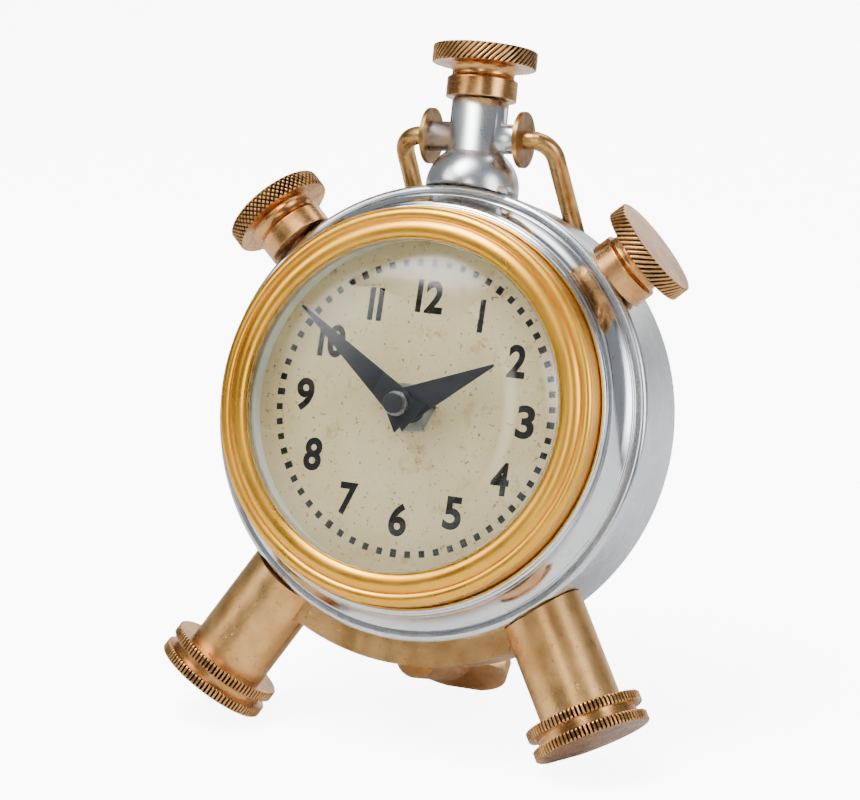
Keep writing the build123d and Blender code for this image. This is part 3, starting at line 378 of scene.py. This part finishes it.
FINISH = {
    "polished_aluminium": POLISHED, "plate_aluminium": BRUSHED, "bezel_brass": BEZEL_BRASS,
    "aged_brass": CAST_BRASS, "rod_brass": ROD_BRASS, "plated_nut": NICKEL, "clear_glass": GLASS,
    "grey_plastic": SPACER, "aged_paper": PAPER, "plated_steel": STEEL, "black_plastic": BLACK,
    "black_rubber": RUBBER, "hand_black": HAND_BLACK, "white_nylon": NYLON, "battery_sleeve": SLEEVE,
    "board_green": BOARD, "coil_copper": COPPER, "rotor_ferrite": FERRITE,
}


# ---------------------------------------------------------------- mesh helpers

def linked(name, mesh):
    piece = bpy.data.objects.new(name, mesh)
    bpy.context.scene.collection.objects.link(piece)
    return piece


def smoothed(mesh, angle=32):
    """Shade smoothly, but for edges sharper than the angle."""
    mesh.polygons.foreach_set("use_smooth", [True] * len(mesh.polygons))
    mesh.set_sharp_from_angle(angle=math.radians(angle))
    mesh.update()


def traced(steps):
    """Points along a profile: a step is (x, y), or (x, y, bulge) for an arc to its left."""
    points = [Vector(steps[0][:2])]
    for step in steps[1:]:
        here, there = points[-1].copy(), Vector(step[:2])
        if len(step) == 3:
            chord = there - here
            along = chord.normalized()
            out = Vector((-along.y, along.x)) * math.copysign(1, step[2])
            rise = abs(step[2])
            half = 2 * math.atan(2 * rise / chord.length)
            radius = chord.length / 2 / math.sin(half)
            centre = (here + there) / 2 - out * (radius - rise)
            count = max(3, math.ceil(half / math.radians(4)))
            for index in range(1, count):
                turn = half * (2 * index / count - 1)
                points.append(centre + radius * (math.sin(turn) * along + math.cos(turn) * out))
        points.append(there)
    return points


def turned_mesh(name, steps, count=256, fill=0.0):
    """Closed solid turned about Y, with a map of millimetres round it and along its profile."""
    points = traced([*steps, steps[0][:2]])[:-1]
    if fill:
        finer = []
        for here, there in zip(points, points[1:] + points[:1]):
            on_axis = here.x < 1e-6 and there.x < 1e-6
            cuts = 1 if on_axis else max(1, math.ceil((there - here).length / fill))
            finer += [here.lerp(there, cut / cuts) for cut in range(cuts)]
        points = finer
    shape = bmesh.new()
    rings = []
    for point in points:
        if point.x < 1e-6:
            rings.append([shape.verts.new((0, point.y, 0))])
        else:
            turns = [TURN * index / count + math.pi for index in range(count)]
            rings.append([
                shape.verts.new((point.x * math.sin(turn), point.y, point.x * math.cos(turn)))
                for turn in turns])
    uv = shape.loops.layers.uv.new("turned")
    run = 0.0
    for index, first in enumerate(rings):
        second = rings[(index + 1) % len(rings)]
        length = (points[(index + 1) % len(points)] - points[index]).length
        if len(first) == 1 and len(second) == 1:
            continue
        for step in range(count):
            after = (step + 1) % count
            corners = [(first[step % len(first)], step, run)]
            if len(second) > 1:
                corners += [(second[step], step, run + length),
                            (second[after], step + 1, run + length)]
            else:
                corners += [(second[0], step, run + length)]
            if len(first) > 1:
                corners += [(first[after], step + 1, run)]
            face = shape.faces.new([corner[0] for corner in corners])
            for loop, corner in zip(face.loops, corners):
                loop[uv].uv = (corner[1] / count * TURN * CASE_R, corner[2])
        run += length
    bmesh.ops.recalc_face_normals(shape, faces=shape.faces)
    mesh = bpy.data.meshes.new(name)
    shape.to_mesh(mesh)
    shape.free()
    return mesh


def settled(name, mesh, place, material, nodes, angle=32):
    """Put a mesh in the clock, give it its material and let it stand for its nodes."""
    mesh.transform(CLOCK @ place)
    if not mesh.materials:
        mesh.materials.append(material)
    smoothed(mesh, angle)
    piece = linked(name, mesh)
    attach(piece, BODY_OF[nodes[0]])
    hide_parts(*nodes)
    return piece


def turned(name, steps, place, material, nodes, count=256):
    return settled(name, turned_mesh(name, steps, count), place, material, nodes)


def new_tree(name, inputs):
    """Geometry tree with named inputs; returns it with its input and output nodes."""
    tree = bpy.data.node_groups.new(name, "GeometryNodeTree")
    tree.interface.new_socket("Geometry", in_out="INPUT", socket_type="NodeSocketGeometry")
    for label, kind in inputs.items():
        tree.interface.new_socket(label, in_out="INPUT", socket_type="NodeSocket" + kind)
    tree.interface.new_socket("Geometry", in_out="OUTPUT", socket_type="NodeSocketGeometry")
    return tree, tree.nodes.new("NodeGroupInput"), tree.nodes.new("NodeGroupOutput")


def grown(name, mesh, tree, values):
    """Mesh that a geometry tree makes from another; the tree's inputs are set by name."""
    piece = linked(name, mesh)
    modifier = piece.modifiers.new("grow", "NODES")
    modifier.node_group = tree
    for item in tree.interface.items_tree:
        if item.in_out == "INPUT" and item.name in values:
            modifier[item.identifier] = values[item.name]
    graph = bpy.context.evaluated_depsgraph_get()
    made = bpy.data.meshes.new_from_object(
        piece.evaluated_get(graph), preserve_all_data_layers=True, depsgraph=graph)
    bpy.data.objects.remove(piece)
    return made


# ---------------------------------------------------------------- knurling and dial marks

RIM_SKIN = 0.45                 # grooves fade out this far inside the rim


def finished(tree, geometry, material, out):
    """End a geometry tree: real meshes with their material."""
    real = add(tree, "GeometryNodeRealizeInstances", {"Geometry": geometry})
    coated = add(tree, "GeometryNodeSetMaterial", {"Geometry": real.outputs[0], "Material": material})
    tree.links.new(coated.outputs[0], out.inputs[0])


def arithmetic(tree, first, operation, second=None, **settings):
    """One step of arithmetic."""
    inputs = {0: first} if second is None else {0: first, 1: second}
    return add(tree, "ShaderNodeMath", inputs, operation=operation, **settings).outputs[0]


def knurl_tree():
    """Cut V grooves in a rim about Y: slanted ones, and the crossing set where Crossed is 1."""
    tree, given, out = new_tree("knurl", {
        "Rim Radius": "Float", "Grooves": "Float", "Slant": "Float", "Crossed": "Float",
        "Depth": "Float", "Width": "Float", "Material": "Material"})
    given = given.outputs
    place = add(tree, "GeometryNodeInputPosition").outputs[0]
    parts = add(tree, "ShaderNodeSeparateXYZ", {0: place}).outputs
    flat = add(tree, "ShaderNodeVectorMath", {0: place, 1: (1, 0, 1)}, operation="MULTIPLY").outputs[0]
    radius = add(tree, "ShaderNodeVectorMath", {0: flat}, operation="LENGTH").outputs["Value"]
    inward = add(tree, "ShaderNodeVectorMath", {0: flat}, operation="NORMALIZE").outputs[0]
    angle = arithmetic(tree, parts[0], "ARCTAN2", parts[2])
    turns = arithmetic(tree, angle, "DIVIDE", TURN)
    pitch = arithmetic(tree, turns, "MULTIPLY", given["Grooves"])
    rise = arithmetic(tree, parts[1], "MULTIPLY", given["Slant"])
    cuts = []
    for operation in ("ADD", "SUBTRACT"):
        phase = arithmetic(tree, pitch, operation, rise)
        away = arithmetic(tree, phase, "PINGPONG", 0.5)
        share = arithmetic(tree, away, "DIVIDE", given["Width"])
        cuts.append(arithmetic(tree, 1.0, "SUBTRACT", share, use_clamp=True))
    second = arithmetic(tree, cuts[1], "MULTIPLY", given["Crossed"])
    cut = arithmetic(tree, cuts[0], "MAXIMUM", second)
    inner = arithmetic(tree, given["Rim Radius"], "SUBTRACT", RIM_SKIN)
    near = add(tree, "ShaderNodeMapRange", {
        "Value": radius, "From Min": inner, "From Max": given["Rim Radius"]}).outputs[0]
    cut = arithmetic(tree, cut, "MULTIPLY", near)
    deep = arithmetic(tree, cut, "MULTIPLY", given["Depth"])
    back = arithmetic(tree, deep, "MULTIPLY", -1.0)
    offset = add(tree, "ShaderNodeVectorMath", {0: inward, "Scale": back}, operation="SCALE").outputs[0]
    kept = add(tree, "GeometryNodeStoreNamedAttribute", {
        "Geometry": given["Geometry"], "Name": "groove", "Value": cut},
        data_type="FLOAT", domain="POINT")
    moved = add(tree, "GeometryNodeSetPosition", {"Geometry": kept.outputs[0], "Offset": offset})
    finished(tree, moved.outputs[0], given["Material"], out)
    return tree


def marks_tree():
    """Ring of minute squares with a longer block at each fifth, flat in XY."""
    tree, given, out = new_tree("minute marks", {
        "Marks": "Int", "Square Radius": "Float", "Block Radius": "Float", "Square": "Vector",
        "Block": "Vector", "Material": "Material"})
    index = add(tree, "GeometryNodeInputIndex").outputs[0]
    fifth = add(tree, "ShaderNodeMath", {0: index, 1: 5.0}, operation="MODULO").outputs[0]
    hour = add(tree, "FunctionNodeCompare", {0: fifth, 1: 0.5},
               data_type="FLOAT", operation="LESS_THAN").outputs[0]
    other = add(tree, "FunctionNodeBooleanMath", {0: hour}, operation="NOT").outputs[0]
    place = add(tree, "GeometryNodeInputPosition").outputs[0]
    outward = add(tree, "FunctionNodeAlignRotationToVector", {"Vector": place}, axis="X").outputs[0]
    joined = add(tree, "GeometryNodeJoinGeometry")
    for size, radius, chosen in (("Square", "Square Radius", other), ("Block", "Block Radius", hour)):
        ring = add(tree, "GeometryNodeMeshCircle", {
            "Vertices": given.outputs["Marks"], "Radius": given.outputs[radius]}).outputs[0]
        mark = add(tree, "GeometryNodeMeshCube", {"Size": given.outputs[size]}).outputs[0]
        stamped = add(tree, "GeometryNodeInstanceOnPoints", {
            "Points": ring, "Selection": chosen, "Instance": mark, "Rotation": outward}).outputs[0]
        tree.links.new(stamped, joined.inputs[0])
    finished(tree, joined.outputs[0], given.outputs["Material"], out)
    return tree


KNURL = knurl_tree()


def knurled(name, steps, place, material, nodes, cut, count, fill):
    """Turned piece with a knurled rim; cut holds the knurl tree's inputs by name."""
    mesh = turned_mesh(name, steps, count, fill)
    made = grown(name, mesh, KNURL, {**cut, "Material": material})
    return settled(name, made, place, material, nodes, angle=50)


# ---------------------------------------------------------------- case

def make_case():
    ledge_in = CASE_BORE - LEDGE_WIDTH
    turned("case_wall", [
        (CASE_BORE, CASE_FRONT), (CASE_R - CASE_SHOULDER, CASE_FRONT),
        (CASE_R, CASE_FRONT + CASE_SHOULDER, -0.44), (CASE_R, CASE_BACK - 1.0),
        (CASE_R - 1.0, CASE_BACK, -0.29), (CASE_BORE + 0.2, CASE_BACK), (CASE_BORE, CASE_BACK - 0.2),
        (CASE_BORE, COVER_SEAT), (ledge_in, COVER_SEAT), (ledge_in, COVER_SEAT - LEDGE_THICK),
        (CASE_BORE, COVER_SEAT - LEDGE_THICK - 2.8),
    ], Matrix(), SATIN, ["case_drum"], 320)
    lip_in = BEZEL_R + 0.1
    lip_out = lip_in + 1.3
    turned("front_cove", [
        (DIAL_SHELF_IN, DIAL_SEAT), (lip_in, DIAL_SEAT), (lip_in, -1.5), (lip_in + 0.1, -1.6),
        (lip_out, -1.6, -0.45), (lip_out + 0.1, -0.6), (lip_out + 0.5, -0.4),
        (55.8, CASE_FRONT - 2.0, 0.9), (55.6, CASE_FRONT - 1.6), (55.9, RING_FRONT, -0.55),
        (RING_SKIRT_R, RING_FRONT), (RING_SKIRT_R, RING_SKIRT_BACK),
        (RING_SKIRT_BORE, RING_SKIRT_BACK), (RING_SKIRT_BORE, CASE_FRONT - 1.0),
        (lip_in - 1.0, RING_BACK), (DIAL_SHELF_IN, RING_BACK),
    ], Matrix(), POLISHED, ["front_ring"], 320)
    turned("bezel_ring", [
        (GLASS_BORE, DIAL_SEAT), (GLASS_BORE, LIP_BACK), (42.5, LIP_BACK), (42.5, -8.8),
        (47.7, -8.3, -1.2), (50.55, -7.6, -0.7), (BEZEL_R, -7.2, -0.1),
        (BEZEL_R, DIAL_SEAT - 0.3), (BEZEL_R - 0.3, DIAL_SEAT),
    ], Matrix(), BEZEL_BRASS, ["bezel"], 320)
    turned("crystal", [
        (0, -18.9), (30.0, -16.4, -0.626), (42.4, -9.6, -1.196), (42.4, -7.55), (GLASS_R, -7.55),
        (GLASS_R, -6.1), (42.0, -6.1), (42.0, -9.26), (29.92, -15.91, 1.168), (0, -18.4, 0.624),
    ], Matrix(), GLASS, ["glass_dome"], 256)


def knob_steps():
    """Collar, waist and disc of a knob, with the blind bore for its stud."""
    edge = 0.25
    collar, low = KNOB_COLLAR_TALL, KNOB_DISC_LOW
    return [
        (STUD_BORE, 0), (KNOB_COLLAR_R - edge, 0), (KNOB_COLLAR_R, edge, -0.08),
        (KNOB_COLLAR_R, collar - 0.4), (KNOB_COLLAR_R - 0.4, collar, -0.1),
        (8.1, collar + 0.8, 0.12), (9.6, low, 0.5), (KNOB_R - edge, low), (KNOB_R, low + edge),
        (KNOB_R, KNOB_TALL - edge), (KNOB_R - edge, KNOB_TALL), (KNOB_R - 1.6, KNOB_TALL),
        (0, KNOB_TALL), (0, STUD_DEEP), (STUD_BORE, STUD_DEEP),
    ]


def make_knobs():
    """The top knob has slanted grooves, the left a diamond pattern, the right the other slant."""
    up = Matrix.Translation((0, KNOB_BASE, 0))
    cut = {"Rim Radius": KNOB_R, "Depth": 0.5}
    slanted, crossed = {**cut, "Crossed": 0.0, "Width": 0.34}, {**cut, "Crossed": 1.0, "Width": 0.28}
    knurled("knurled_top_knob", knob_steps(), on_neck() @ Matrix.Translation((0, NECK_TOP + 0.3, 0)),
            KNOB_BRASS, ["top_knob"], {**slanted, "Grooves": 54.0, "Slant": -0.62}, 416, 0.35)
    knurled("knurled_left_knob", knob_steps(), on_radius(-KNOB_ANGLE) @ up,
            KNOB_BRASS, ["left_knob"], {**crossed, "Grooves": 56.0, "Slant": 0.62}, 448, 0.22)
    knurled("knurled_right_knob", knob_steps(), on_radius(KNOB_ANGLE) @ up,
            KNOB_BRASS, ["right_knob"], {**slanted, "Grooves": 56.0, "Slant": -0.55}, 448, 0.35)


def make_feet():
    """Two finely knurled rims with a groove between; each foot rests on its worn flat."""
    edge = 0.3
    upper = FOOT_TALL - FOOT_RIM
    steps = [
        (FOOT_BORE, 0), (FOOT_R - edge, 0), (FOOT_R, edge), (FOOT_R, FOOT_RIM - edge),
        (FOOT_R - edge, FOOT_RIM), (FOOT_GROOVE_R, FOOT_RIM), (FOOT_GROOVE_R, upper),
        (FOOT_R - edge, upper), (FOOT_R, upper + edge), (FOOT_R, FOOT_TALL - edge),
        (FOOT_R - edge, FOOT_TALL), (0, FOOT_TALL), (0, FOOT_BORE_DEEP), (FOOT_BORE, FOOT_BORE_DEEP),
    ]
    cut = {"Rim Radius": FOOT_R, "Grooves": 84.0, "Slant": 0.0, "Crossed": 0.0,
           "Depth": 0.55, "Width": 0.27}
    for label, side in (("left", -1), ("right", 1)):
        foot = knurled("knurled_" + label + "_foot", steps, on_leg(side), KNOB_BRASS,
                       [label + "_foot"], cut, 840, 0.5)
        for vertex in foot.data.vertices:
            vertex.co.z = max(vertex.co.z, 0.0)


def digit(letter):
    """Mesh of one figure, centred, and its width; a one is a plain bar."""
    if letter == "1":
        shape = bmesh.new()
        bmesh.ops.create_cube(shape, size=1.0)
        mesh = bpy.data.meshes.new("bar")
        shape.to_mesh(mesh)
        shape.free()
        mesh.transform(Matrix.Diagonal((DIGIT_STROKE, DIGIT_TALL, PRINT_THICK, 1.0)))
        return mesh, DIGIT_STROKE
    text = bpy.data.curves.new("numeral", "FONT")
    text.body = letter
    text.size = 11.6
    text.offset = 0.36
    text.extrude = PRINT_THICK / 2
    text.resolution_u = 8
    holder = linked("numeral", text)
    graph = bpy.context.evaluated_depsgraph_get()
    mesh = bpy.data.meshes.new_from_object(holder.evaluated_get(graph), depsgraph=graph)
    bpy.data.objects.remove(holder)
    xs = [v.co.x for v in mesh.vertices]
    ys = [v.co.y for v in mesh.vertices]
    centre = Vector(((min(xs) + max(xs)) / 2, (min(ys) + max(ys)) / 2, 0))
    fit = Matrix.Diagonal((
        DIGIT_WIDE / (max(xs) - min(xs)), DIGIT_TALL / (max(ys) - min(ys)), 1.0, 1.0))
    mesh.transform(fit @ Matrix.Translation(-centre))
    return mesh, DIGIT_WIDE


def make_dial_print():
    """Minute ring and hour numerals, printed on the card."""
    flat = Matrix.Translation((0, -PRINT_THICK / 2, 0)) @ Y_TO_UP
    ring = grown("marks", bpy.data.meshes.new("marks"), marks_tree(), {
        "Marks": 60, "Square Radius": MARK_RING_R, "Block Radius": BLOCK_RING_R,
        "Square": (1.75, 1.6, PRINT_THICK), "Block": (2.1, 1.7, PRINT_THICK), "Material": INK})
    shape = bmesh.new()
    shape.from_mesh(ring)
    for hour in range(1, 13):
        turn = math.radians(30 * hour)
        glyphs = [digit(letter) for letter in str(hour)]
        across = sum(wide for _, wide in glyphs) + DIGIT_GAP * (len(glyphs) - 1)
        left = -across / 2
        reach = NUMERAL_RIM - math.hypot(
            across / 2 * math.sin(turn), DIGIT_TALL / 2 * math.cos(turn))
        for glyph, wide in glyphs:
            spot = (reach * math.sin(turn) + left + wide / 2, reach * math.cos(turn), 0)
            glyph.transform(Matrix.Translation(spot))
            shape.from_mesh(glyph)
            left += wide + DIGIT_GAP
    mesh = bpy.data.meshes.new("dial_print")
    shape.to_mesh(mesh)
    shape.free()
    mesh.transform(CLOCK @ flat)
    mesh.materials.append(INK)
    piece = linked("dial_print", mesh)
    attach(piece, BODY_OF["paper_dial"])


def make_from_frame():
    """The frame's other nodes, with their doubles merged so that they shade smoothly."""
    special = {"neck": SATIN, "left_bail_washer": WASHER_BRASS, "right_bail_washer": WASHER_BRASS}
    for node, source in frame["nodes"].items():
        if source.hide_render:
            continue
        mesh = source.data.copy()
        shape = bmesh.new()
        shape.from_mesh(mesh)
        bmesh.ops.remove_doubles(shape, verts=shape.verts, dist=1e-7)
        shape.to_mesh(mesh)
        shape.free()
        mesh.name = node + "_mesh"
        mesh.materials.clear()
        mesh.materials.append(special.get(node) or FINISH[SLOT_OF[node]])
        smoothed(mesh, 28)
        piece = linked("fine_" + node, mesh)
        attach(piece, BODY_OF[node])
        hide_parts(node)


# ---------------------------------------------------------------- studio

CAMERA_AT = (385.0, -940.1, -41.9)
CAMERA_RIGHT = (0.9195, 0.3659, 0.1438)
CAMERA_LOOK = (-0.3753, 0.9259, 0.0438)
CAMERA_LENS = 167.4


def make_camera():
    right = Vector(CAMERA_RIGHT).normalized()
    back = -Vector(CAMERA_LOOK).normalized()
    up = back.cross(right).normalized()
    facing = Matrix((right, up, right.cross(up))).transposed().to_4x4()
    lens = bpy.data.cameras.new("camera")
    lens.lens = CAMERA_LENS
    lens.sensor_width = 36.0
    lens.clip_start = 0.05
    camera = linked("camera", lens)
    turn = Matrix.Rotation(-LEAN, 4, "X") @ facing
    camera.matrix_world = Matrix.Translation(CLOCK @ Vector(CAMERA_AT)) @ turn
    bpy.context.scene.camera = camera


def stood(piece, at, aim):
    """Put a lamp or a panel in its place, facing a point."""
    piece.location = at
    piece.rotation_euler = (Vector(aim) - Vector(at)).to_track_quat("-Z", "Y").to_euler()


# Glowing cloths round the clock: name, place, what it faces, width, height, peak and tint, in metres
MIDDLE = (0, 0, 0.09)
ABOVE = (0, 0, 0.3)
PANELS = (
    ("key", (-0.9, -0.75, 1.0), MIDDLE, 1.2, 1.2, 6.0, "FFFFFF"),
    ("side", (1.15, -0.25, 0.55), MIDDLE, 0.8, 1.2, 9.0, "F6F9FF"),
    ("over", (-0.30, -0.42, 1.30), MIDDLE, 0.9, 1.4, 24.0, "FFFFFF"),
    ("back", (0.1, 0.7, 1.1), MIDDLE, 1.2, 0.7, 6.0, "FFFFFF"),
    ("behind", (0.0, 1.5, 0.45), ABOVE, 2.4, 1.1, 2.6, "FFFFFF"),
    ("front", (0.33, -1.55, 0.70), ABOVE, 0.65, 1.6, 6.0, "FFFDF8"),
)
FILL_AT = (-0.3, -0.6, 1.3)
FLOOR_SIZE = 4.0
FLOOR_DROP = 0.0003


def panel(name, at, aim, wide, tall, peak, tint):
    """Glowing cloth whose light fades out to its edges, so that metal and glass mirror no hard edge."""
    shape = bmesh.new()
    bmesh.ops.create_grid(shape, x_segments=1, y_segments=1, size=0.5)
    mesh = bpy.data.meshes.new(name)
    shape.to_mesh(mesh)
    shape.free()
    mesh.transform(Matrix.Diagonal((wide, tall, 1.0, 1.0)))
    material = bpy.data.materials.new(name + " cloth")
    material.use_nodes = True
    tree = material.node_tree
    tree.nodes.clear()
    place = add(tree, "ShaderNodeTexCoord").outputs["Object"]
    parts = add(tree, "ShaderNodeSeparateXYZ", {0: place}).outputs
    shares = []
    for part, half in ((parts[0], wide / 2), (parts[1], tall / 2)):
        away = add(tree, "ShaderNodeMath", {0: part}, operation="ABSOLUTE").outputs[0]
        shares.append(add(tree, "ShaderNodeMapRange", {
            "Value": away, "From Min": half * 0.15, "From Max": half, "To Min": 1.0, "To Max": 0.0,
        }, interpolation_type="SMOOTHSTEP").outputs[0])
    share = add(tree, "ShaderNodeMath", {0: shares[0], 1: shares[1]}, operation="MULTIPLY").outputs[0]
    power = add(tree, "ShaderNodeMath", {0: share, 1: peak}, operation="MULTIPLY").outputs[0]
    glow = add(tree, "ShaderNodeEmission", {"Color": linear(tint), "Strength": power}).outputs[0]
    add(tree, "ShaderNodeOutputMaterial", {"Surface": glow})
    mesh.materials.append(material)
    cloth = linked(name, mesh)
    stood(cloth, at, aim)
    cloth.visible_camera = False


def make_floor():
    """Plain floor: grey to the metal, and white to the camera with the clock's soft shadow on it."""
    floor = bpy.data.meshes.new("floor")
    shape = bmesh.new()
    bmesh.ops.create_grid(shape, x_segments=2, y_segments=2, size=FLOOR_SIZE)
    shape.to_mesh(floor)
    shape.free()
    material, tree, shader = new_material("pale floor paper")
    tree.links.new(blended(tree, noise(tree, 300.0), "DCDCDC", "D8D8D8"), shader.inputs["Base Color"])
    shader.inputs["Roughness"].default_value = 0.9
    seen = add(tree, "ShaderNodeLightPath").outputs["Is Camera Ray"]
    lit = add(tree, "ShaderNodeBsdfDiffuse", {"Color": (1.4, 1.4, 1.4, 1.0)}).outputs[0]
    glow = add(tree, "ShaderNodeEmission", {"Color": linear("FFFFFF"), "Strength": 7.5}).outputs[0]
    white = add(tree, "ShaderNodeAddShader", {0: lit, 1: glow}).outputs[0]
    mixed = add(tree, "ShaderNodeMixShader", {0: seen, 1: shader.outputs[0], 2: white}).outputs[0]
    out = next(node for node in tree.nodes if node.type == "OUTPUT_MATERIAL")
    tree.links.new(mixed, out.inputs["Surface"])
    floor.materials.append(material)
    ground = linked("floor", floor)
    ground.location = (0, 0, -FLOOR_DROP)


def make_studio():
    make_floor()
    world = bpy.data.worlds.new("studio")
    world.use_nodes = True
    world.node_tree.nodes["Background"].inputs[0].default_value = linear("DCE0E6")
    world.node_tree.nodes["Background"].inputs[1].default_value = 0.4
    bpy.context.scene.world = world
    for row in PANELS:
        panel(*row)
    light = bpy.data.lights.new("fill", "AREA")
    light.size = 0.8
    light.energy = 8.0
    lamp = linked("fill", light)
    stood(lamp, FILL_AT, MIDDLE)
    lamp.visible_glossy = False


make_case()
make_knobs()
make_feet()
make_dial_print()
make_from_frame()
make_camera()
make_studio()
